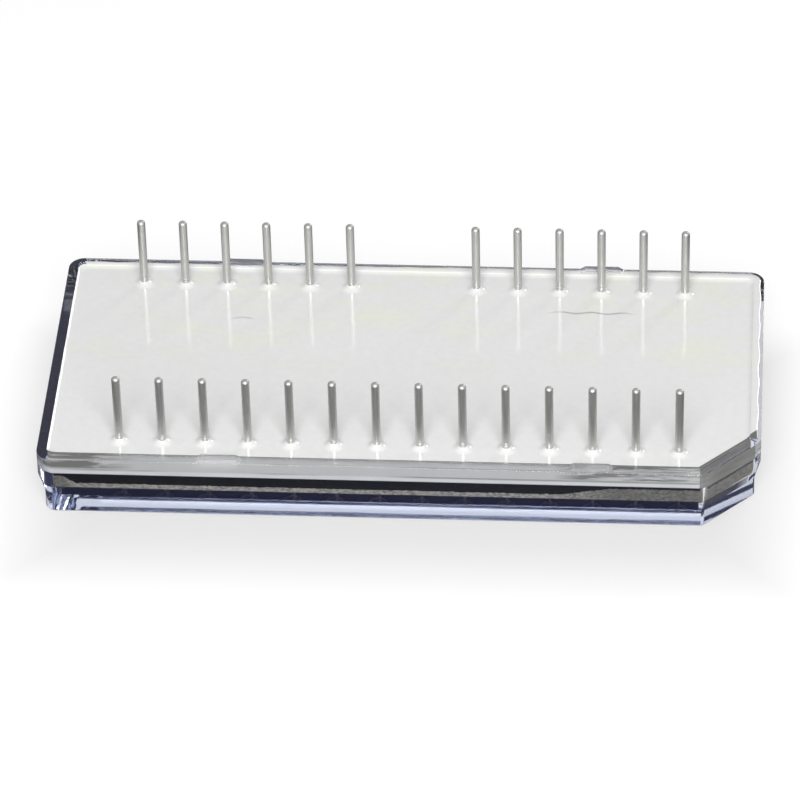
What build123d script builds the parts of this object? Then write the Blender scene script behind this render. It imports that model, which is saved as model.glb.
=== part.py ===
from build123d import *
from math import atan2, cos, degrees, pi, sqrt
import os

# An eight-character dot-matrix display module in a 28-place dual in-line package.
# It lies on its window with its leads up: Z = 0 is the outer face of the window, +Z runs
# towards the lead tips, and X runs along the lead rows. Lead 1 stands at the +X end of the
# -Y row, beside the cut corner. Everything is in millimetres.

# Lead pattern
lead_pitch = 2.54
row_spacing = 15.24
places_per_row = 14
empty_places = (21, 22)
lead_diameter = 0.5
lead_reach = 4.75  # from the level of the resin to the tip
nose_height = 0.14
nose_diameter = 0.3

# Package outline
package_length = 42.6
package_width = 19.6
rim_height = 4.2
corner_radius = 0.95
corner_cut = 3.2
cut_corner_radius = 0.7
pocket_corner_radius = 0.45  # the smallest that any inner outline has
cut_pocket_radius = 0.2

# Lens tray
window_thickness = 1.05
window_inset = 0.35  # the window block is this much smaller than the rim all round
window_block_height = 1.3
flare_top = 2.6
window_edge_chamfer = 0.12
wall_thickness = 0.62
ledge_width = 0.38
ledge_height = 1.8

# Standoffs on the rim of both long walls
standoff_places = (-10.5, 11.4)
standoff_base = 2.8
standoff_top = 2.0
standoff_height = 0.25
standoff_setback = 0.06  # from both faces of the wall

# Circuit board
board_thickness = 1.15
board_clearance = 0.1
board_front = ledge_height
board_back = board_front + board_thickness

# Solder, on the front of the board
solder_diameter = 1.0
solder_tip_diameter = 0.55
solder_height = 0.2

# Character matrices
characters = 8
character_pitch = 5.31
dot_columns = 5
dot_rows = 7
column_pitch = 0.71
row_pitch = 0.81
die_size = 0.28
die_height = 0.2

# Driver chip and its cover, on the back of the board
chip_length = 7.4
chip_width = 5.2
chip_height = 0.35
cover_length = 13.0
cover_width = 9.0
cover_height = 0.85
cover_wall = 0.25
cover_corner_radius = 0.8

# Resin over the back of the board
resin_level = 4.05
lead_collar_diameter = 1.3
lead_collar_height = 0.27
wall_meniscus_width = 0.35
wall_meniscus_top = 4.17

# Where the round leads are buried, they, their holes and their joints are drawn with flats
buried_sides = 8
buried_front = board_front
buried_back = resin_level + lead_collar_height


def package_plan(inset, height):
    """The package outline, moved inwards all round: a rectangle with one corner cut at 45 degrees."""
    half_length = package_length / 2 - inset
    half_width = package_width / 2 - inset
    cut = corner_cut - inset * (2 - sqrt(2))
    plan = make_face(
        Polyline(
            (-half_length, -half_width),
            (half_length - cut, -half_width),
            (half_length, -half_width + cut),
            (half_length, half_width),
            (-half_length, half_width),
            close=True,
        )
    )
    square_corners = [v for v in plan.vertices() if v.X < 0 or v.Y > 0]
    plan = fillet(square_corners, max(corner_radius - inset, pocket_corner_radius))
    cut_line = half_length + half_width - cut
    cut_corners = [v for v in plan.vertices() if abs(v.X - v.Y - cut_line) < 0.01]
    plan = fillet(cut_corners, max(cut_corner_radius - inset, cut_pocket_radius))
    return Pos(0, 0, height) * plan


def prism(inset, bottom, top):
    return extrude(package_plan(inset, bottom), top - bottom)


def flare(inset_above, top, inset_below, bottom):
    """A prism of the package outline whose sides lean inwards on the way down."""
    lean = degrees(atan2(inset_below - inset_above, top - bottom))
    return extrude(package_plan(inset_above, top), bottom - top, taper=lean)


def frustum(start, start_diameter, end, end_diameter):
    """A straight or tapered stub on the Z axis, with the flats of a buried piece."""
    start_plan = Pos(0, 0, start) * RegularPolygon(start_diameter / 2, buried_sides)
    shrink = (start_diameter - end_diameter) / 2 * cos(pi / buried_sides)
    return extrude(start_plan, end - start, taper=degrees(atan2(shrink, abs(end - start))))


def standoff(x, side):
    """A low foot with ramped ends, across the rim of one long wall."""
    outline = Polyline(
        (-standoff_base / 2, 0),
        (-standoff_top / 2, standoff_height),
        (standoff_top / 2, standoff_height),
        (standoff_base / 2, 0),
        close=True,
    )
    wall_middle = side * (package_width - wall_thickness) / 2
    plane = Plane(origin=(x, wall_middle, rim_height), x_dir=(1, 0, 0), z_dir=(0, -1, 0))
    reach = wall_thickness / 2 - standoff_setback
    return extrude(plane * make_face(outline), reach, both=True)


def lens_tray():
    """Window, ledge and side walls, moulded in one piece."""
    block = prism(window_inset, 0, window_block_height)
    block = chamfer(block.faces().sort_by(Axis.Z)[0].edges(), window_edge_chamfer)
    sides = flare(0, flare_top, window_inset, window_block_height)
    tray = block + sides + prism(0, flare_top, rim_height)
    tray -= prism(wall_thickness + ledge_width, window_thickness, ledge_height)
    tray -= prism(wall_thickness, ledge_height, rim_height)
    for x in standoff_places:
        for side in (-1, 1):
            tray += standoff(x, side)
    return tray


def lead_places():
    """Lead number and (x, y) for every place that holds a lead, counted from the cut corner."""
    middle = (places_per_row - 1) / 2
    places = {}
    for step in range(places_per_row):
        along = (middle - step) * lead_pitch
        places[1 + step] = (along, -row_spacing / 2)
        places[1 + places_per_row + step] = (-along, row_spacing / 2)
    for number in empty_places:
        del places[number]
    return dict(sorted(places.items()))


def lead():
    """One lead on the Z axis: a buried shank, a round wire and a blunt nose."""
    tip = resin_level + lead_reach
    shank = frustum(buried_front, lead_diameter, buried_back, lead_diameter)
    wire = Pos(0, 0, buried_back) * Cylinder(
        lead_diameter / 2,
        tip - nose_height - buried_back,
        align=(Align.CENTER, Align.CENTER, Align.MIN),
    )
    nose = frustum(tip - nose_height, lead_diameter, tip, nose_diameter)
    return shank + wire + nose


def solder_joint():
    """The cone of solder over a lead's end, on the Z axis."""
    return frustum(board_front, solder_diameter, board_front - solder_height, solder_tip_diameter)


def at_places(shape, places):
    return [Pos(x, y, 0) * shape for x, y in places]


def circuit_board(places):
    board = prism(wall_thickness + board_clearance, board_front, board_back)
    hole = frustum(board_front, lead_diameter, board_back, lead_diameter)
    return board - at_places(hole, places)


def character_dies(index):
    """The light-emitting dies of one character, on the front of the board."""
    centre = (index - (characters - 1) / 2) * character_pitch
    die = Box(die_size, die_size, die_height, align=(Align.CENTER, Align.CENTER, Align.MAX))
    grid = GridLocations(column_pitch, row_pitch, dot_columns, dot_rows)
    return Compound(children=[Pos(centre, 0, board_front) * place * die for place in grid])


def back_block(length, width, height, radius=0.0):
    """A block on the back of the board, with its upright edges rounded."""
    block = Pos(0, 0, board_back) * Box(
        length, width, height, align=(Align.CENTER, Align.CENTER, Align.MIN)
    )
    return fillet(block.edges().filter_by(Axis.Z), radius) if radius else block


def chip_cover():
    """A moulded cap over the chip, open towards the board."""
    hollow = back_block(
        cover_length - 2 * cover_wall,
        cover_width - 2 * cover_wall,
        cover_height - cover_wall,
        cover_corner_radius - cover_wall,
    )
    return back_block(cover_length, cover_width, cover_height, cover_corner_radius) - hollow


def resin_back(places):
    """Resin over the back of the board. It climbs the walls and every lead a little."""
    block = prism(wall_thickness, board_back, wall_meniscus_top)
    block -= flare(
        wall_thickness,
        wall_meniscus_top,
        wall_thickness + wall_meniscus_width,
        resin_level,
    )
    collar = frustum(resin_level, lead_collar_diameter, buried_back, lead_diameter)
    bore = frustum(board_back, lead_diameter, buried_back, lead_diameter)
    block += at_places(collar, places)
    block -= at_places(bore, places)
    return block - back_block(cover_length, cover_width, cover_height, cover_corner_radius)


def build_nodes():
    places = lead_places()
    spots = list(places.values())
    nodes = {
        "lens_tray": lens_tray(),
        "circuit_board": circuit_board(spots),
        "driver_chip": back_block(chip_length, chip_width, chip_height),
        "chip_cover": chip_cover(),
        "resin_back": resin_back(spots),
    }
    for index in range(characters):
        nodes[f"character_{index + 1}_dies"] = character_dies(index)
    one_lead = lead()
    for number, (x, y) in places.items():
        nodes[f"lead_{number:02d}"] = Pos(x, y, 0) * one_lead
    one_joint = solder_joint()
    for row, side in (("front", -1), ("back", 1)):
        row_spots = [(x, y) for x, y in spots if y * side > 0]
        nodes[f"solder_{row}_row"] = Compound(children=at_places(one_joint, row_spots))
    return nodes


os.makedirs("parts", exist_ok=True)
for name, shape in build_nodes().items():
    export_step(shape, f"parts/{name}.step")
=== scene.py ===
import math
import random

import bmesh
import bpy
from mathutils import Matrix, Vector


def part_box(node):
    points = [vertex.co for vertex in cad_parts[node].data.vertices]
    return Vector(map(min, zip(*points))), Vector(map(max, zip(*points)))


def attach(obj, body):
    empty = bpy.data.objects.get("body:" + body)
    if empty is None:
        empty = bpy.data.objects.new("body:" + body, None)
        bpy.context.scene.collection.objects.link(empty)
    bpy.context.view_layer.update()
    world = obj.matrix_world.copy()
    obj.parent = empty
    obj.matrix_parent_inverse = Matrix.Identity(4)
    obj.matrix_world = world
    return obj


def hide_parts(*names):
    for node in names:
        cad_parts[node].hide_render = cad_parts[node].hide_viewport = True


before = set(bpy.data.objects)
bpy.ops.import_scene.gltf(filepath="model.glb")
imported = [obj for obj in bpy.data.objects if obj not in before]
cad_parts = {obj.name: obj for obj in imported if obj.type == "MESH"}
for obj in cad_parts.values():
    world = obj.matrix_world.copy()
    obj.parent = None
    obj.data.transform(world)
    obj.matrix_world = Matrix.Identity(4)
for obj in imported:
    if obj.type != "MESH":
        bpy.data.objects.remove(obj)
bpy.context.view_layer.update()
toMetres = 0.001  # shapes are modelled in millimetres and brought to metres when they are finished
toMillimetres = 1000

cameraPlace = {
    "aim": (-0.18, -3.25, 4.05),  # millimetres
    "azimuth": 4.547,  # degrees, from the front towards +X
    "elevation": 38.74,
    "roll": -1.54,
    "distance": 332.3,
    "lens": 251.4,
    "sensor": 36,
    "clip": (0.01, 10),  # metres
}


def addCamera(place):
    data = bpy.data.cameras.new("camera")
    data.lens, data.sensor_width = place["lens"], place["sensor"]
    data.clip_start, data.clip_end = place["clip"]
    camera = bpy.data.objects.new("camera", data)
    bpy.context.scene.collection.objects.link(camera)
    azimuth, elevation = math.radians(place["azimuth"]), math.radians(place["elevation"])
    turn = Matrix.Rotation(azimuth, 4, "Z") @ Matrix.Rotation(math.pi / 2 - elevation, 4, "X")
    roll = Matrix.Rotation(math.radians(place["roll"]), 4, "Z")
    away = turn @ Vector((0, 0, place["distance"] * toMetres))
    aim = Vector(place["aim"]) * toMetres
    camera.matrix_world = Matrix.Translation(aim + away) @ turn @ roll
    bpy.context.scene.camera = camera


addCamera(cameraPlace)
bpy.context.scene.view_settings.view_transform = "Standard"
lightPaths = {  # light runs along inside the clear tray, so it needs many turns
    "max_bounces": 28,
    "glossy_bounces": 24,
    "transmission_bounces": 24,
}
for name, value in lightPaths.items():
    setattr(bpy.context.scene.cycles, name, value)
print("camera in place")


class Wire:
    # one output socket of a node tree; + - and * on wires and numbers add Math nodes
    def __init__(self, tree, socket=None):
        self.tree, self.socket = tree, socket

    def node(self, kind, settings=None, inputs=None, output=0):
        # a new node, with its settings and then the values or links of its sockets
        made = self.tree.nodes.new("ShaderNode" + kind)
        for name, value in (settings or {}).items():
            setattr(made, name, value)
        for name, value in (inputs or {}).items():
            if isinstance(value, Wire):
                self.tree.links.new(value.socket, made.inputs[name])
            else:
                made.inputs[name].default_value = value
        return Wire(self.tree, made.outputs[output])

    def maths(self, operation, *values, clamp=False):
        settings = {"operation": operation, "use_clamp": clamp}
        return self.node("Math", settings, dict(enumerate(values)))

    def __add__(self, other):
        return self.maths("ADD", self, other)

    def __sub__(self, other):
        return self.maths("SUBTRACT", self, other)

    def __rsub__(self, other):
        return self.maths("SUBTRACT", other, self)

    def __mul__(self, other):
        return self.maths("MULTIPLY", self, other)

    __radd__, __rmul__ = __add__, __mul__

    def above(self, edge, softness):
        # 0 below the edge, 1 above it, with a soft step between
        return self.maths("MULTIPLY", self - edge, 1 / softness, clamp=True)

    def size(self):
        return self.maths("ABSOLUTE", self)


def startMaterial(name):
    material = bpy.data.materials.new(name)
    material.use_nodes = True
    tree = material.node_tree
    tree.nodes.clear()
    return material, Wire(tree)


def here(wire):
    # the point's place in millimetres
    place = wire.node("TexCoord", output="Object")
    return wire.node("VectorMath", {"operation": "SCALE"}, {0: place, "Scale": toMillimetres})


def along(wire, place, axis):
    return wire.node("SeparateXYZ", inputs={0: place}, output=axis)


def stretched(wire, place, scale):
    return wire.node("VectorMath", {"operation": "MULTIPLY"}, {0: place, 1: scale})


def noise(wire, place, scale=1.0, detail=2.0, roughness=0.5):
    inputs = {"Vector": place, "Scale": scale, "Detail": detail, "Roughness": roughness}
    return wire.node("TexNoise", inputs=inputs)


def uprightFaces(wire, level=0.3, softness=0.2):
    # 1 on faces that stand upright, 0 on level ones
    normal = wire.node("NewGeometry", output="Normal")
    return 1 - along(wire, normal, "Z").size().above(level, softness)


def blendColour(wire, mask, low, high):
    return wire.node("Mix", {"data_type": "RGBA"}, {0: mask, 6: low, 7: high}, output=2)


def bump(wire, height, strength, distance):
    inputs = {"Height": height, "Strength": strength, "Distance": distance * toMetres}
    return wire.node("Bump", inputs=inputs)


def endTree(wire, kind, ends):
    out = wire.tree.nodes.new("ShaderNode" + kind)
    for name, value in ends.items():
        wire.tree.links.new(value.socket, out.inputs[name])


def endMaterial(material, wire, inputs, volume=None):
    ends = {"Surface": wire.node("BsdfPrincipled", inputs=inputs)}
    if volume:
        ends["Volume"] = volume
    endTree(wire, "OutputMaterial", ends)
    return material


def grey(level):
    return (level, level, level, 1)


trayLook = {
    "tint": (0.38, 0.50, 0.82, 1),
    "tintDensity": 28,
    "index": 1.56,
    "polish": 0.01,
    "haze": 0.02,
    "hazeScale": 0.6,
    "frost": 0.75,  # the feet's tops are matt
    "frostFrom": (4.23, 0.03),  # height where it starts, and over how much
    "flowStretch": (0.12, 0.5, 1.0),
    "flowScale": 1.2,
    "raised": (0.1, 0.02),  # strength of its bumps, and their height in millimetres
}


def trayPlastic(look):
    material, wire = startMaterial("trayPlastic")
    place = here(wire)
    flow = noise(wire, stretched(wire, place, look["flowStretch"]), look["flowScale"])
    haze = noise(wire, place, look["hazeScale"], detail=3.0)
    frost = along(wire, place, "Z").above(*look["frostFrom"])
    tint = {"Color": look["tint"], "Density": look["tintDensity"]}
    inputs = {
        "Base Color": grey(1),
        "Transmission Weight": 1.0,
        "IOR": look["index"],
        "Roughness": look["polish"] + look["haze"] * haze + look["frost"] * frost,
        "Normal": bump(wire, flow, *look["raised"]),
    }
    return endMaterial(material, wire, inputs, wire.node("VolumeAbsorption", inputs=tint))


creaseLook = {
    "long": ((10.9, 5.56), 2.6),  # its middle, and how far it reaches to each side
    "short": ((-10.2, 4.33), 0.7),
    "shortDepth": 0.6,  # beside the long one's
    "wave": 0.07,
    "waveRate": 3.3,
    "line": (0.03, 0.08),  # half its width, and how softly it ends
    "fadeFrom": 0.6,  # shares of its reach
    "fadeOver": 0.5,
}


def crease(wire, x, y, middle, reach):
    # a thin wavy dark line across the resin
    middleX, middleY = middle
    wave = creaseLook["wave"] * wire.maths("COSINE", creaseLook["waveRate"] * (x - middleX))
    aside = y - middleY - wave
    fade = creaseLook["fadeFrom"] * reach, creaseLook["fadeOver"] * reach
    ending = (x - middleX).size().above(*fade)
    return (1 - aside.size().above(*creaseLook["line"])) * (1 - ending)


resinLook = {  # a pair such as cloudEdge says where a step begins, and over how much
    "pale": (0.715, 0.72, 0.71, 1),
    "yellowed": (0.725, 0.73, 0.635, 1),
    "cloudStretch": (0.2, 0.35, 0.3),
    "cloudEdge": (0.5, 0.15),
    "cloudBehind": (-1, 3),  # the clouds lie behind this line
    "specked": (0.57, 0.58, 0.58, 1),
    "speckDepth": 0.55,
    "speckScale": 2.2,
    "creased": grey(0.12),
    "creaseDepth": 0.5,
    "endsSkew": 0.25,  # the stretches near the ends are longer on the right
    "endsFrom": (11.5, 2.0),
    "lipShade": grey(0.05),  # painted shade: the dark line at the front wall and at the cut corner
    "lipShadeDepth": 0.9,
    "lipShadeMiddle": 0.8,  # its depth between the two ends
    "frontLipShade": (-8.85, 0.06),
    "cutLipShade": (26.52, 0.08),
    # painted light: the upright sides seen through the wall are lighter than the top, lightest
    # below the step
    "sideLightLow": grey(0.97),
    "sideLightHigh": (0.76, 0.76, 0.745, 1),
    "sideLightStep": (3.2, 0.1),
    "smearStretch": (0.3, 0.3, 2.4),
    "darkStreakEdge": (0.41, 0.1),
    "darkStreakAbove": (3.3, 0.15),
    "darkStreakBefore": (-8.5, 1.0),
    "darkStreakDepth": 0.8,
    "seamFrom": (3.19, 0.04),
    "seamTo": (3.3, 0.05),
    "seamBreaks": (0.45, 0.1),
    "seamScale": 0.12,
    "seamDepth": 0.5,
    # painted shade on the cut corner's side
    "cutSide": (26.93, 0.06),
    "cutShadeDepth": 0.55,
    "cutSmear": 0.6,
    "sideMarksAndCutShade": (0.16, 0.155, 0.14, 1),
    "gloss": 0.08,
    "glossSpeck": 0.05,
    "index": 1.72,
    "waveScale": 0.5,
    "raised": (0.4, 0.04),
    "waveSpeck": 0.05,
    "waveCrease": 0.3,
}


def resinTop(wire, look, x, y, cloud, speck, creases, ends):
    colour = blendColour(wire, cloud, look["pale"], look["yellowed"])
    colour = blendColour(wire, look["speckDepth"] * speck, colour, look["specked"])
    colour = blendColour(wire, look["creaseDepth"] * creases, colour, look["creased"])
    # painted shade along the resin's front edge and along the cut corner
    front, softness = look["frontLipShade"]
    middle = look["lipShadeMiddle"]
    frontLipShade = (middle + (1 - middle) * ends) * (front - y).above(0, softness)
    lipShade = wire.maths("MAXIMUM", frontLipShade, (x - y).above(*look["cutLipShade"]))
    return blendColour(wire, look["lipShadeDepth"] * lipShade, colour, look["lipShade"])


def sideMarksAndCutShade(wire, look, place, x, y, z, ends):
    # seen through the wall: dark patches near the ends, a dark seam line just above the board, and
    # painted shade over the cut corner
    smear = noise(wire, stretched(wire, place, look["smearStretch"]), detail=3.0, roughness=0.6)
    darkStreaks = smear.above(*look["darkStreakEdge"]) * ends * z.above(*look["darkStreakAbove"])
    darkStreaks = darkStreaks * (1 - y.above(*look["darkStreakBefore"]))
    seam = z.above(*look["seamFrom"]) * (1 - z.above(*look["seamTo"]))
    seam = seam * noise(wire, place, look["seamScale"]).above(*look["seamBreaks"])
    # painted shade: the cut corner's side is darker, as if less light reached it
    cutCorner = (x - y).above(*look["cutSide"]) * (look["cutShadeDepth"] + look["cutSmear"] * smear)
    dark = wire.maths("MAXIMUM", look["darkStreakDepth"] * darkStreaks, look["seamDepth"] * seam)
    return wire.maths("MAXIMUM", dark, cutCorner)


def resinPale(look):
    material, wire = startMaterial("resinPale")
    place = here(wire)
    x, y, z = [along(wire, place, axis) for axis in "XYZ"]
    cloud = noise(wire, stretched(wire, place, look["cloudStretch"]), detail=4.0, roughness=0.6)
    cloud = cloud.above(*look["cloudEdge"]) * y.above(*look["cloudBehind"])
    speck = noise(wire, place, look["speckScale"], detail=4.0, roughness=0.6)
    creases = crease(wire, x, y, *creaseLook["long"])
    creases = creases + creaseLook["shortDepth"] * crease(wire, x, y, *creaseLook["short"])
    ends = (x.size() + look["endsSkew"] * x).above(*look["endsFrom"])
    colour = resinTop(wire, look, x, y, cloud, speck, creases, ends)
    side = uprightFaces(wire)
    # painted light on the upright sides seen through the wall
    paintedSideLight = blendColour(wire, z.above(*look["sideLightStep"]), look["sideLightLow"], look["sideLightHigh"])
    colour = blendColour(wire, side, colour, paintedSideLight)
    # dark marks on the sides, and painted shade over the cut corner
    dark = side * sideMarksAndCutShade(wire, look, place, x, y, z, ends)
    waves = noise(wire, place, look["waveScale"])
    waves = waves + look["waveSpeck"] * speck - look["waveCrease"] * creases
    inputs = {
        "Base Color": blendColour(wire, dark, colour, look["sideMarksAndCutShade"]),
        "Roughness": look["gloss"] + look["glossSpeck"] * speck,
        "IOR": look["index"],
        "Normal": bump(wire, waves, *look["raised"]),
    }
    return endMaterial(material, wire, inputs)


boardLook = {
    "blacks": (grey(0.003), grey(0.009)),
    "fibres": ((0.16, 0.155, 0.14, 1), (0.62, 0.60, 0.56, 1)),
    "fibreEdge": (0.35, 0.3),
    "burnt": (0.09, 0.09, 0.075, 1),
    "burntDepth": 0.6,
    "teethStretch": (3.5, 3.5, 1.0),
    "grainStretch": (5.0, 5.0, 9.0),
    "rightEnd": (9.5, 3.0),  # stretches that the router has left rougher
    "leftEnd": (19.0, 0.8),
    "tornTo": 2.0,  # height of the torn strip's upper edge
    "tornTeeth": 0.3,
    "tornAtEnds": 0.52,
    "tornSoftness": 0.04,
    "matt": 0.5,
    "mattTorn": 0.4,
    "specular": 0.2,
    "raised": (0.4, 0.02),
}


def boardLaminate(look):
    material, wire = startMaterial("boardLaminate")
    place = here(wire)
    x, z = along(wire, place, "X"), along(wire, place, "Z")
    teeth = noise(wire, stretched(wire, place, look["teethStretch"]), detail=4.0, roughness=0.7)
    grain = noise(wire, stretched(wire, place, look["grainStretch"]), detail=4.0, roughness=0.7)
    ends = x.above(*look["rightEnd"]) + (0 - x).above(*look["leftEnd"])
    edge = look["tornTo"] + look["tornTeeth"] * teeth + look["tornAtEnds"] * ends
    torn = (1 - z.above(edge, look["tornSoftness"])) * uprightFaces(wire)
    fibre = blendColour(wire, grain.above(*look["fibreEdge"]), *look["fibres"])
    burnt = look["burntDepth"] * wire.maths("MINIMUM", ends, 1)
    fibre = blendColour(wire, burnt, fibre, look["burnt"])
    black = blendColour(wire, grain, *look["blacks"])
    inputs = {
        "Base Color": blendColour(wire, torn, black, fibre),
        "Roughness": look["matt"] + look["mattTorn"] * torn,
        "Specular IOR Level": look["specular"],
        "Normal": bump(wire, grain, *look["raised"]),
    }
    return endMaterial(material, wire, inputs)


leadLook = {
    "tins": ((0.51, 0.505, 0.495, 1), (0.76, 0.755, 0.74, 1)),  # between and on the streaks
    "blotched": (0.53, 0.525, 0.51, 1),
    "blotchDepth": 0.5,
    "blotchScale": 1.6,
    "streakStretch": (9.0, 9.0, 0.5),
    "matt": 0.44,
    "mattStreaks": 0.12,
    "footPolish": 0.26,  # smoother just above the resin
    "footEnd": (4.45, 0.5),
    "raised": (0.3, 0.02),
}


def leadTin(look):
    material, wire = startMaterial("leadTin")
    place = here(wire)
    streaks = stretched(wire, place, look["streakStretch"])
    streaks = noise(wire, streaks, detail=3.0, roughness=0.6)
    blotch = noise(wire, place, look["blotchScale"])
    colour = blendColour(wire, streaks, *look["tins"])
    foot = 1 - along(wire, place, "Z").above(*look["footEnd"])
    inputs = {
        "Base Color": blendColour(wire, look["blotchDepth"] * blotch, colour, look["blotched"]),
        "Metallic": 1.0,
        "Roughness": look["matt"] + look["mattStreaks"] * streaks - look["footPolish"] * foot,
        "Normal": bump(wire, streaks + look["blotchDepth"] * blotch, *look["raised"]),
    }
    return endMaterial(material, wire, inputs)


grainedLooks = {  # finishes with one grain: its colours, how matt it is, and how it is raised
    "solderTin": {
        "colours": ((0.52, 0.52, 0.51, 1), (0.68, 0.68, 0.67, 1)),
        "metallic": 1.0,
        "matt": (0.18, 0.25),
        "scale": 3.0,
        "detail": 3.0,
        "raised": (0.3, 0.02),
    },
    "dieCrystal": {
        "colours": ((0.38, 0.10, 0.05, 1), (0.62, 0.25, 0.12, 1)),
        "index": 2.2,
        "matt": (0.25, 0.3),
        "stretch": (3.0, 3.0, 14.0),
        "detail": 3.0,
        "raised": (0.3, 0.005),
    },
    "coverPlastic": {
        "colours": (grey(0.022), grey(0.05)),
        "matt": (0.45, 0.25),
        "scale": 8.0,
        "detail": 4.0,
        "roughness": 0.6,
        "raised": (0.4, 0.02),
    },
    "goldPlate": {
        "colours": ((0.72, 0.52, 0.20, 1), (0.86, 0.66, 0.32, 1)),
        "metallic": 1.0,
        "matt": (0.22, 0.2),
        "scale": 4.0,
        "detail": 3.0,
        "raised": (0.2, 0.005),
    },
}


def grained(name):
    look = grainedLooks[name]
    material, wire = startMaterial(name)
    place = here(wire)
    if "stretch" in look:
        place = stretched(wire, place, look["stretch"])
    grain = {part: look[part] for part in ("scale", "detail", "roughness") if part in look}
    grain = noise(wire, place, **grain)
    base, spread = look["matt"]
    inputs = {
        "Base Color": blendColour(wire, grain, *look["colours"]),
        "Roughness": base + spread * grain,
        "Normal": bump(wire, grain, *look["raised"]),
    }
    for part, socket in (("metallic", "Metallic"), ("index", "IOR")):
        if part in look:
            inputs[socket] = look[part]
    return endMaterial(material, wire, inputs)


siliconLook = {
    "colours": ((0.16, 0.17, 0.21, 1), (0.42, 0.40, 0.38, 1)),
    "cellDepth": 0.7,
    "cellScale": 2.5,
    "cellGap": 0.03,
    "metallic": 0.8,
    "gloss": 0.12,
    "haze": 0.15,
    "hazeScale": 1.5,
}


def chipSilicon(look):
    material, wire = startMaterial("chipSilicon")
    place = here(wire)
    cells = {"Vector": place, "Scale": look["cellScale"], "Mortar Size": look["cellGap"]}
    cells = wire.node("TexBrick", inputs=cells, output="Fac")
    haze = noise(wire, place, look["hazeScale"], detail=3.0)
    inputs = {
        "Base Color": blendColour(wire, look["cellDepth"] * cells, *look["colours"]),
        "Metallic": look["metallic"],
        "Roughness": look["gloss"] + look["haze"] * haze,
    }
    return endMaterial(material, wire, inputs)


trayMaterial = trayPlastic(trayLook)
resinMaterial = resinPale(resinLook)
boardMaterial = boardLaminate(boardLook)
leadMaterial = leadTin(leadLook)
solderMaterial = grained("solderTin")
dieMaterial = grained("dieCrystal")
siliconMaterial = chipSilicon(siliconLook)
coverMaterial = grained("coverPlastic")
goldMaterial = grained("goldPlate")
print("materials ready")

making = {
    "seam": 0.0005,  # vertices nearer than this are one
    "level": 0.9,  # how upright the normal of a level face is, at least
    "near": 0.01,  # faces nearer than this to a height lie on it
    "smoothAngle": 40,  # degrees; edges that fold more than this are sharp
}


def millimetreBox(node):
    low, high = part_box(node)
    return low * toMillimetres, high * toMillimetres


def closeSeams(bm):
    bmesh.ops.remove_doubles(bm, verts=bm.verts, dist=making["seam"])
    bmesh.ops.recalc_face_normals(bm, faces=bm.faces)


def finishPiece(name, bm, material, replaced=(), smoothAngle=making["smoothAngle"]):
    bmesh.ops.scale(bm, verts=bm.verts, vec=(toMetres,) * 3)
    mesh = bpy.data.meshes.new(name)
    bm.to_mesh(mesh)
    bm.free()
    mesh.polygons.foreach_set("use_smooth", [True] * len(mesh.polygons))
    mesh.set_sharp_from_angle(angle=math.radians(smoothAngle))
    mesh.materials.append(material)
    piece = bpy.data.objects.new(name, mesh)
    bpy.context.scene.collection.objects.link(piece)
    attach(piece, "root")
    if replaced:
        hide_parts(*replaced)
    return piece


def keepNormals(piece):
    # broad flat faces keep their own normal where a rounded edge meets them
    weigh = piece.modifiers.new("flatFaces", "WEIGHTED_NORMAL")
    weigh.mode, weigh.keep_sharp, weigh.weight = "FACE_AREA", True, 100


package = {
    "cornerCut": 3.2,
    "cornerRound": 0.95,
    "cutRound": 0.7,
    "cutTurn": 45,  # degrees
    "leastCornerRound": 0.45,
    "leastCutRound": 0.2,
    "cornerSteps": 8,
    "cutSteps": 4,
}
trayHigh = millimetreBox("lens_tray")[1]


def outlineRing(bm, inset, height):
    # a closed loop with the package outline, moved inwards by inset
    halfLength, halfWidth = trayHigh.x - inset, trayHigh.y - inset
    cut = package["cornerCut"] - inset * (2 - math.sqrt(2))
    corners = [
        (-halfLength, -halfWidth),
        (halfLength - cut, -halfWidth),
        (halfLength, -halfWidth + cut),
        (halfLength, halfWidth),
        (-halfLength, halfWidth),
    ]
    verts = [bm.verts.new((x, y, height)) for x, y in corners]
    bm.faces.new(verts)
    square, cutEnds = [verts[0], verts[3], verts[4]], [verts[1], verts[2]]
    cornerRound = max(package["cornerRound"] - inset, package["leastCornerRound"])
    cutRound = max(package["cutRound"] - inset, package["leastCutRound"])
    cutRound *= math.tan(math.radians(package["cutTurn"] / 2))
    plain = {"affect": "VERTICES", "profile": 0.5, "material": -1}
    steps = package["cornerSteps"]
    bmesh.ops.bevel(bm, geom=square, offset=cornerRound, segments=steps, **plain)
    steps = package["cutSteps"]
    bmesh.ops.bevel(bm, geom=cutEnds, offset=cutRound, segments=steps, **plain)
    alone = [f for f in bm.faces if all(len(e.link_faces) == 1 for e in f.edges)]
    face = [f for f in alone if len(f.edges) >= len(corners)][-1]
    ring = list(face.edges)
    bm.faces.remove(face)
    return ring


def setHeights(rings, heights):
    for ring, height in zip(rings, heights):
        for v in {v for e in ring for v in e.verts}:
            v.co.z = height


def outlineRings(bm, profile):
    # each ring is at a level of its own, so that none meets another before they are joined
    return [outlineRing(bm, inset, level) for level, (inset, height) in enumerate(profile)]


def ringShell(bm, profile):
    # rings round the outline at each (inset, height), joined in turn, with both ends closed
    rings = outlineRings(bm, profile)
    for inner, outer in zip(rings, rings[1:]):
        bmesh.ops.bridge_loops(bm, edges=inner + outer)
    for end in (rings[0], rings[-1]):
        bmesh.ops.contextual_create(bm, geom=end)
    setHeights(rings, [height for inset, height in profile])
    bmesh.ops.recalc_face_normals(bm, faces=bm.faces)


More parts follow.
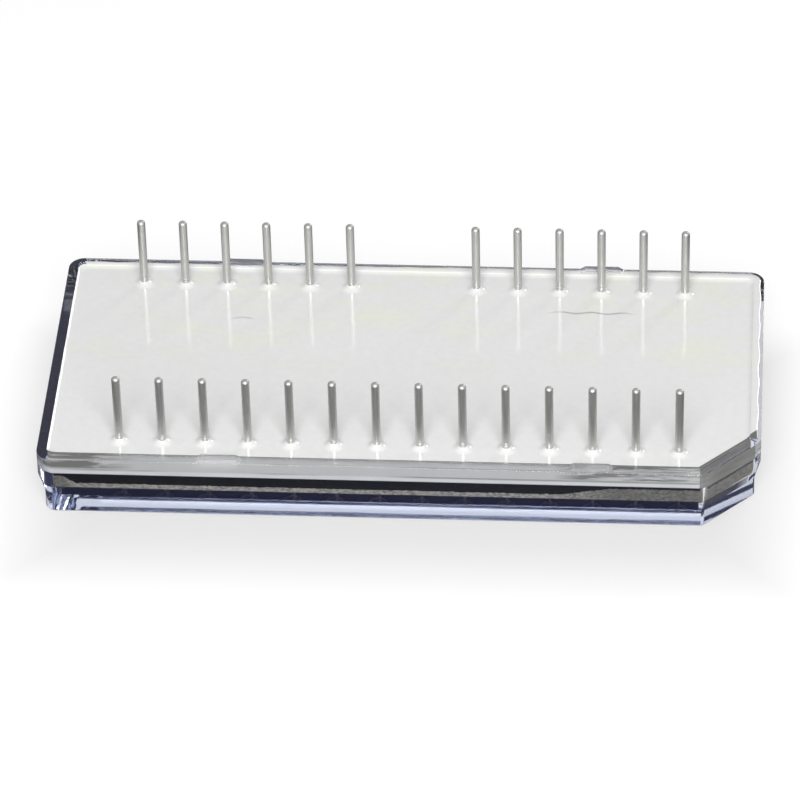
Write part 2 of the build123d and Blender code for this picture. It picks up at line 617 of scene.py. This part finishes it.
def foldedEdges(bm, degrees, low=-math.inf, high=math.inf):
    # the edges between low and high whose two faces meet at more than an angle
    return [
        e
        for e in bm.edges
        if len(e.link_faces) == 2
        and e.calc_face_angle() > math.radians(degrees)
        and all(low < v.co.z < high for v in e.verts)
    ]


def roundEdges(bm, edges, offset, segments):
    bmesh.ops.bevel(
        bm, geom=edges, offset=offset, segments=segments, affect="EDGES", profile=0.5,
        material=-1, clamp_overlap=True,
    )


def addBox(bm, centre, size):
    made = bmesh.ops.create_cube(bm, size=1)["verts"]
    bmesh.ops.scale(bm, verts=made, vec=size)
    bmesh.ops.translate(bm, verts=made, vec=centre)


tray = {
    "wall": 0.62,
    "ledge": 0.38,
    "ledgeTop": 1.795,  # a hair under the board
    "windowThickness": 1.05,
    "blockInset": 0.35,
    "blockTop": 1.3,
    "flareTop": 2.6,
    "rim": 4.2,
    "footPlaces": (-10.5, 11.4),
    "footBase": 2.8,
    "footTop": 2.0,
    "footSetback": 0.06,
    "footNear": 0.1,  # a foot's seat has its middle nearer than this to the foot's place
    "fold": 30,  # degrees; an edge of the window or of a foot folds more than this
    "bottomBelow": 0.1,  # the window's outer edges lie below this height
    "bottomRound": 0.12,
    "roundSteps": 3,
    "footAbove": 0.1,  # the feet's edges lie at least this far above the rim
    "footRound": 0.04,
    "footRoundSteps": 2,
    "rimFold": 60,
    "rimBelow": 0.05,  # the rim's edges lie at most this far below its top
    "rimRound": 0.12,
}


def rimFaces(bm):
    return [
        f
        for f in bm.faces
        if f.normal.z > making["level"]
        and abs(f.calc_center_median().z - tray["rim"]) < making["near"]
    ]


def addFeet(bm):
    # four low feet are raised from the rim, two on each long wall
    footHeight = trayHigh.z - tray["rim"]
    for x in tray["footPlaces"]:
        for end in (-1, 1):
            top = rimFaces(bm)
            geom = set(top) | {e for f in top for e in f.edges} | {v for f in top for v in f.verts}
            cutPlace = (x + end * tray["footBase"] / 2, 0, 0)
            bmesh.ops.bisect_plane(bm, geom=list(geom), plane_co=cutPlace, plane_no=(1, 0, 0))
    bm.faces.ensure_lookup_table()
    for x in tray["footPlaces"]:
        for side in (-1, 1):
            seat = [
                f
                for f in rimFaces(bm)
                if abs(f.calc_center_median().x - x) < tray["footNear"]
                and f.calc_center_median().y * side > 0
            ]
            setback = tray["footSetback"]
            bmesh.ops.inset_region(bm, faces=seat, thickness=setback, use_even_offset=True)
            raised = bmesh.ops.extrude_face_region(bm, geom=seat)["geom"]
            verts = [g for g in raised if isinstance(g, bmesh.types.BMVert)]
            bmesh.ops.delete(bm, geom=seat, context="FACES_ONLY")
            bmesh.ops.translate(bm, verts=verts, vec=(0, 0, footHeight))
            for v in verts:
                v.co.x = x + math.copysign(tray["footTop"] / 2, v.co.x - x)


def makeTray():
    pocket = tray["wall"] + tray["ledge"]
    profile = [
        (tray["blockInset"], 0),
        (tray["blockInset"], tray["blockTop"]),
        (0, tray["flareTop"]),
        (0, tray["rim"]),
        (tray["wall"], tray["rim"]),
        (tray["wall"], tray["ledgeTop"]),
        (pocket, tray["ledgeTop"]),
        (pocket, tray["windowThickness"]),
    ]
    bm = bmesh.new()
    ringShell(bm, profile)
    bottomEdges = foldedEdges(bm, tray["fold"], high=tray["bottomBelow"])
    roundEdges(bm, bottomEdges, tray["bottomRound"], tray["roundSteps"])
    addFeet(bm)
    footEdges = foldedEdges(bm, tray["fold"], low=tray["rim"] + tray["footAbove"])
    roundEdges(bm, footEdges, tray["footRound"], tray["footRoundSteps"])
    low, high = tray["rim"] - tray["rimBelow"], tray["rim"] + making["near"]
    rimEdges = foldedEdges(bm, tray["rimFold"], low=low, high=high)
    roundEdges(bm, rimEdges, tray["rimRound"], tray["roundSteps"])
    closeSeams(bm)
    piece = finishPiece("lensTray", bm, trayMaterial, ["lens_tray"])
    keepNormals(piece)


makeTray()
print("lens tray done")

resin = {
    "level": 4.05,
    "press": 0.015,  # the resin wets the tray's wall, so it reaches this far into it
    "wallRise": 0.15,
    "wallReach": 0.4,
    "wallSteps": 7,
    "curve": 2.4,  # how steeply it climbs close to a wall or a lead
    "collarInner": 0.24,  # just inside the lead's surface
    "collarRise": 0.26,
    "collarReach": 0.5,
    "collarSteps": 8,
    "collarSides": 32,
    "collarSink": 0.06,
    "collarEdge": 0.003,  # the collar's outer edge ends this far under the resin
    "riseSpread": (0.85, 1.1),
    "reachSpread": (0.9, 1.15),
    "seed": 4,
}
resinLow = millimetreBox("resin_back")[0]
leadNodes = [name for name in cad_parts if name.startswith("lead_")]


def leadCentre(node):
    low, high = millimetreBox(node)
    return (low + high) / 2


def spunSolid(bm, profile, centre, sides):
    # a closed outline of (radius, height) turned once about an upright axis
    verts = [bm.verts.new((centre.x + radius, centre.y, height)) for radius, height in profile]
    edges = [bm.edges.new(pair) for pair in zip(verts, verts[1:])]
    if profile[0][0] > 0:
        edges.append(bm.edges.new((verts[-1], verts[0])))
    bmesh.ops.spin(
        bm, geom=verts + edges, cent=(centre.x, centre.y, 0), axis=(0, 0, 1),
        angle=2 * math.pi, steps=sides, use_merge=True, use_duplicate=False,
    )


def spunDome(bm, profile, centre, sides):
    # an outline that ends on the axis, closed by a flat base at its first height
    spunSolid(bm, profile[::-1] + [(0, profile[0][1])], centre, sides)


def climb(rise, share):
    # height of a wetted surface at a share of its reach, from a wall or a lead outwards
    return rise * (1 - share) ** resin["curve"]


def makeResin():
    bm = bmesh.new()
    outer = tray["wall"] - resin["press"]
    profile = [(outer, resinLow.z)]
    for step in range(resin["wallSteps"] + 1):
        share = step / resin["wallSteps"]
        height = resin["level"] + climb(resin["wallRise"], share)
        profile.append((outer + share * resin["wallReach"], height))
    ringShell(bm, profile)
    chance = random.Random(resin["seed"])
    inner, sunk = resin["collarInner"], resin["level"] - resin["collarSink"]
    for node in leadNodes:
        reach = resin["collarReach"] * chance.uniform(*resin["reachSpread"])
        rise = resin["collarRise"] * chance.uniform(*resin["riseSpread"])
        outline = [(inner, sunk)]
        for step in range(resin["collarSteps"] + 1):
            share = step / resin["collarSteps"]
            height = resin["level"] + climb(rise, share) - resin["collarEdge"]
            outline.append((inner + share * reach, height))
        outline.append((inner + reach, sunk))
        spunSolid(bm, outline, leadCentre(node), resin["collarSides"])
    closeSeams(bm)
    piece = finishPiece("resinBack", bm, resinMaterial, ["resin_back"])
    keepNormals(piece)


film = {
    "section": [  # inset from the package outline, and height
        (0.68, 4.12),
        (0.66, 4.19),
        (0.61, 4.222),
        (0.5, 4.238),
        (0.39, 4.23),
        (0.33, 4.19),
        (0.33, 4.12),
    ],
    "behind": 8.6,  # it lies behind this line, and to the right of the next one
    "right": 20.2,
    "cutCorner": 26,  # and ends at the cut corner, where x - y passes this
    "longEdge": 5,
    "cuts": 40,
    "waver": 0.035,
    "waverRate": 2.3,
    "outer": 0.45,  # its vertices nearer to the rim's edge than this are the ones that move
    "wider": 0.14,  # how much more of the rim it covers at its right end
    "widenFrom": -11.0,
    "widenOver": 14.0,
}


def makeRimFilm():
    # resin that crept over the rim: its inner half at the back, and more of it towards the right
    bm = bmesh.new()
    rings = outlineRings(bm, film["section"])
    for inner, outer in zip(rings, rings[1:] + rings[:1]):
        bmesh.ops.bridge_loops(bm, edges=inner + outer)
    setHeights(rings, [height for inset, height in film["section"]])
    away = []
    for f in bm.faces:
        middle = f.calc_center_median()
        front = middle.y < film["behind"] and middle.x < film["right"]
        pastCorner = middle.x - middle.y > film["cutCorner"]
        if front or middle.x < -film["right"] or pastCorner:
            away.append(f)
    bmesh.ops.delete(bm, geom=away, context="FACES")
    longEdges = [e for e in bm.edges if e.calc_length() > film["longEdge"]]
    bmesh.ops.subdivide_edges(bm, edges=longEdges, cuts=film["cuts"], use_grid_fill=True)
    cornerX, cornerY = trayHigh.x - package["cornerRound"], trayHigh.y - package["cornerRound"]
    for v in bm.verts:
        outward = Vector((max(0, v.co.x - cornerX), max(0, v.co.y - cornerY), 0))
        if outward.length > package["cornerRound"] - film["outer"]:
            turn = film["waver"] * math.sin(film["waverRate"] * (v.co.x + v.co.y))
            share = (v.co.x - film["widenFrom"]) / film["widenOver"]
            v.co += (turn + film["wider"] * min(1, max(0, share))) * outward.normalized()
    bmesh.ops.holes_fill(bm, edges=bm.edges, sides=0)
    bmesh.ops.recalc_face_normals(bm, faces=bm.faces)
    finishPiece("rimFilm", bm, resinMaterial)


makeResin()
makeRimFilm()
print("resin back done")

lead = {"sides": 24, "domeSteps": 5, "domeHeight": 0.2}


def makeLead(node):
    low, high = millimetreBox(node)
    centre = (low + high) / 2
    radius = (high.x - low.x) / 2
    outline = [(0, low.z), (radius, low.z)]
    for step in range(lead["domeSteps"] + 1):
        turn = math.pi / 2 * step / lead["domeSteps"]
        height = high.z - lead["domeHeight"] * (1 - math.sin(turn))
        outline.append((radius * math.cos(turn) if step < lead["domeSteps"] else 0, height))
    bm = bmesh.new()
    spunSolid(bm, outline, centre, lead["sides"])
    closeSeams(bm)
    finishPiece(node.replace("lead_", "roundLead"), bm, leadMaterial, [node])


for node in leadNodes:
    makeLead(node)
print("leads done")

joint = {
    "outline": [  # radius, and depth below the board
        (0.5, 0),
        (0.45, 0.05),
        (0.39, 0.12),
        (0.3, 0.17),
        (0.18, 0.193),
        (0, 0.2),
    ],
    "sides": 20,
}


def makeSolder(name, node):
    # one smooth dome of solder over the end of every lead in a row
    low, high = millimetreBox(node)
    bm = bmesh.new()
    outline = [(radius, high.z - depth) for radius, depth in joint["outline"]]
    for leadNode in leadNodes:
        centre = leadCentre(leadNode)
        if low.y < centre.y < high.y:
            spunDome(bm, outline, centre, joint["sides"])
    closeSeams(bm)
    finishPiece(name, bm, solderMaterial, [node])


makeSolder("frontSolder", "solder_front_row")
makeSolder("backSolder", "solder_back_row")
print("solder done")

dots = {"columns": 5, "rows": 7, "columnPitch": 0.71, "rowPitch": 0.81, "dieHeight": 0.2}
printed = {
    "thick": 0.012,
    "columnWidth": 0.2,
    "columnOverhang": 0.3,
    "padSize": 0.14,
    "padPlace": 0.34,  # towards the middle of the display
    "ringOuter": 0.57,
    "ringSides": 24,
    "stubWidth": 0.16,
    "stubThick": 0.9,  # beside the rings
    "stubEnd": 5.1,  # distance of its end from the middle line
    "viaRadius": 0.2,
    "viaSides": 16,
}
bond = {"wire": 0.028, "arch": 0.1, "steps": 6, "smoothAngle": 60}
characterNodes = [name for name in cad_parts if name.startswith("character_")]
boardFront = millimetreBox("circuit_board")[0].z


def gridLine(middle, count, pitch):
    return [middle + (index - (count - 1) / 2) * pitch for index in range(count)]


def dieCentres(node):
    low, high = millimetreBox(node)
    middle = (low + high) / 2
    for x in gridLine(middle.x, dots["columns"], dots["columnPitch"]):
        for y in gridLine(middle.y, dots["rows"], dots["rowPitch"]):
            yield x, y


def addDisc(bm, centre, radius, sides):
    bmesh.ops.create_cone(
        bm, cap_ends=True, segments=sides, radius1=radius, radius2=radius,
        depth=printed["thick"], matrix=Matrix.Translation(centre),
    )


def makePrint():
    # a strip under each column of dies, a bond pad beside each die, and a ring and a stub at each
    # lead
    bm = bmesh.new()
    thick, pad = printed["thick"], printed["padSize"]
    z = boardFront - thick / 2
    for node in characterNodes:
        low, high = millimetreBox(node)
        middle = (low + high) / 2
        length = high.y - low.y + 2 * printed["columnOverhang"]
        for x in gridLine(middle.x, dots["columns"], dots["columnPitch"]):
            addBox(bm, (x, middle.y, z), (printed["columnWidth"], length, thick))
        for x, y in dieCentres(node):
            padX = x - math.copysign(printed["padPlace"], middle.x)
            addBox(bm, (padX, y, z), (pad, pad, thick))
    for node in leadNodes:
        centre = leadCentre(node)
        side = math.copysign(1, centre.y)
        addDisc(bm, (centre.x, centre.y, z), printed["ringOuter"], printed["ringSides"])
        length = abs(centre.y) - printed["stubEnd"]
        stubMiddle = side * (printed["stubEnd"] + length / 2)
        stubSize = (printed["stubWidth"], length, printed["stubThick"] * thick)
        addBox(bm, (centre.x, stubMiddle, z), stubSize)
        viaPlace = (centre.x, side * printed["stubEnd"], z)
        addDisc(bm, viaPlace, printed["viaRadius"], printed["viaSides"])
    bmesh.ops.recalc_face_normals(bm, faces=bm.faces)
    finishPiece("printedMetal", bm, goldMaterial)


def addArch(bm, start, reach):
    # one wire, extruded step by step in an arch from the top of a die to its pad
    upright = Matrix.Rotation(math.copysign(math.pi / 2, reach), 4, "Y")
    half = bond["wire"] / 2
    grid = bmesh.ops.create_grid(bm, x_segments=1, y_segments=1, size=half, matrix=upright)
    bmesh.ops.translate(bm, verts=grid["verts"], vec=start)
    face, made = grid["verts"][0].link_faces[0], list(grid["verts"])
    at = Vector((0, 0, 0))
    for step in range(1, bond["steps"] + 1):
        share = step / bond["steps"]
        raised = bmesh.ops.extrude_face_region(bm, geom=[face])["geom"]
        if step > 1:  # the first face stays as the wire's closed end
            bmesh.ops.delete(bm, geom=[face], context="FACES_ONLY")
        face = [g for g in raised if isinstance(g, bmesh.types.BMFace)][0]
        height = share * dots["dieHeight"] - bond["arch"] * math.sin(math.pi * share)
        target = Vector((share * reach, 0, height))
        bmesh.ops.translate(bm, verts=face.verts[:], vec=target - at)
        at = target
        made += face.verts
    return made


def makeBondWires():
    # a fine wire for every die, copied from one on each half of the display
    bm = bmesh.new()
    top = boardFront - dots["dieHeight"]
    for side in (-1, 1):
        half = [node for node in characterNodes if side * millimetreBox(node)[0].x > 0]
        spots = [(x, y) for node in half for x, y in dieCentres(node)]
        first = addArch(bm, (*spots[0], top), -side * printed["padPlace"])
        faces = list({f for v in first for f in v.link_faces})
        geom = faces + list({e for f in faces for e in f.edges}) + first
        for x, y in spots[1:]:
            copy = bmesh.ops.duplicate(bm, geom=geom)["geom"]
            verts = [g for g in copy if isinstance(g, bmesh.types.BMVert)]
            bmesh.ops.translate(bm, verts=verts, vec=(x - spots[0][0], y - spots[0][1], 0))
    bmesh.ops.recalc_face_normals(bm, faces=bm.faces)
    finishPiece("bondWires", bm, goldMaterial, smoothAngle=bond["smoothAngle"])


makePrint()
makeBondWires()
print("front of the board done")


def dress(node, material):
    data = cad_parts[node].data
    data.materials.clear()
    data.materials.append(material)


dress("circuit_board", boardMaterial)
dress("driver_chip", siliconMaterial)
dress("chip_cover", coverMaterial)
for node in characterNodes:
    dress(node, dieMaterial)
print("solids dressed")

stage = {
    "floorSize": 3.0,  # metres, as the next one
    "floorDrop": 0.00003,
    "floorGlow": grey(0.74),
    "paleColour": grey(0.26),
    "shadeMiddle": (0.2, -3.9, 0),  # millimetres, as the two below
    "shadeHalf": (22.2, 10.8),
    "shadeBlur": 4.0,
    "shadeDepth": 0.3,
    "matColour": (0.10, 0.105, 0.19, 1),
    "matLeftShade": (0.035, 0.037, 0.085, 1),
    "matFade": (-16.0, 18.0),  # where the painted shadow on its left begins to fade, and over what length
    # painted shadow on the mat under the part
    "matShadowUnderPart": (0.012, 0.013, 0.034, 1),
    "partHalf": (21.3, 10.4),
    "partBlur": 1.2,
    "matEndColour": (0.95, 0.95, 0.97, 1),
    "matEnd": (19.5, 1.5),  # where the mat turns pale, and over what length
    "matInMetal": (0.11, 0.11, 0.115, 1),
    "skyLight": 0.5,
    "skyThroughTray": 0.9,
}


def softBox(wire, place, middle, halves, blur):
    # 1 inside an upright box on the floor, 0 outside it, with blurred sides
    gone = wire.node("VectorMath", {"operation": "SUBTRACT"}, {0: place, 1: middle})
    beyond = [along(wire, gone, axis).size() - half for axis, half in zip("XY", halves)]
    outside = [wire.maths("MAXIMUM", value, 0) for value in beyond]
    far = wire.maths("SQRT", outside[0] * outside[0] + outside[1] * outside[1])
    deep = wire.maths("MINIMUM", wire.maths("MAXIMUM", *beyond), 0)
    limits = {"From Min": -blur, "From Max": blur, "To Min": 1.0, "To Max": 0.0}
    smooth = {"interpolation_type": "SMOOTHSTEP"}
    return wire.node("MapRange", smooth, {"Value": far + deep, **limits})


def floorMaterial():
    # the camera sees a white sweep with a soft shadow; metal and clear plastic see a mat there
    material, wire = startMaterial("paleFloor")
    seen = wire.node("LightPath", output="Is Camera Ray")
    through = wire.node("LightPath", output="Is Transmission Ray")
    place = here(wire)
    shade = softBox(wire, place, stage["shadeMiddle"], stage["shadeHalf"], stage["shadeBlur"])
    glow = blendColour(wire, stage["shadeDepth"] * shade, stage["floorGlow"], grey(0))
    glow = wire.node("Emission", inputs={"Color": glow})
    pale = wire.node("BsdfDiffuse", inputs={"Color": stage["paleColour"]})
    sweep = wire.node("AddShader", inputs={0: pale, 1: glow})
    x = along(wire, place, "X")
    # painted shadow: the mat is darker towards the left
    mat = blendColour(wire, x.above(*stage["matFade"]), stage["matLeftShade"], stage["matColour"])
    # painted shadow on the mat under the part, blurred at its edges
    shadowUnder = softBox(wire, place, (0, 0, 0), stage["partHalf"], stage["partBlur"])
    mat = blendColour(wire, shadowUnder, mat, stage["matShadowUnderPart"])
    mat = blendColour(wire, x.above(*stage["matEnd"]), mat, stage["matEndColour"])
    mat = blendColour(wire, through, stage["matInMetal"], mat)
    mat = wire.node("Emission", inputs={"Color": mat})
    shown = wire.node("MixShader", inputs={0: seen, 1: mat, 2: sweep})
    endTree(wire, "OutputMaterial", {"Surface": shown})
    return material


def addFloor():
    bm = bmesh.new()
    bmesh.ops.create_grid(bm, x_segments=2, y_segments=2, size=stage["floorSize"] / 2)
    bmesh.ops.translate(bm, verts=bm.verts, vec=(0, 0, -stage["floorDrop"]))
    mesh = bpy.data.meshes.new("floor")
    bm.to_mesh(mesh)
    bm.free()
    mesh.materials.append(floorMaterial())
    floor = bpy.data.objects.new("floor", mesh)
    bpy.context.scene.collection.objects.link(floor)


def addSky():
    world = bpy.data.worlds.new("sky")
    bpy.context.scene.world = world
    world.use_nodes = True
    world.node_tree.nodes.clear()
    wire = Wire(world.node_tree)
    seen = wire.node("LightPath", output="Is Camera Ray")
    through = wire.node("LightPath", output="Is Transmission Ray")
    strength = wire.maths("MAXIMUM", seen, stage["skyThroughTray"] * through)
    strength = wire.maths("MAXIMUM", strength, stage["skyLight"])
    light = wire.node("Background", inputs={"Color": grey(1), "Strength": strength})
    endTree(wire, "OutputWorld", {"Surface": light})


lamps = {  # place and size in millimetres, power in watts
    "keyLamp": {"place": (15, -188, 160), "size": 170, "power": 0.66},
    "sideLamp": {"place": (150, 215, 110), "size": 70, "power": 0.1},
}


def addLamp(name, values):
    # a round lamp that points at the middle of the part
    data = bpy.data.lights.new(name, "AREA")
    data.shape, data.size = "DISK", values["size"] * toMetres
    data.energy = values["power"]
    lamp = bpy.data.objects.new(name, data)
    lamp.visible_camera = False
    bpy.context.scene.collection.objects.link(lamp)
    place = Vector(values["place"]) * toMetres
    turn = place.to_track_quat("Z", "Y").to_matrix().to_4x4()
    lamp.matrix_world = Matrix.Translation(place) @ turn


addFloor()
addSky()
for name, values in lamps.items():
    addLamp(name, values)
print("stage ready")
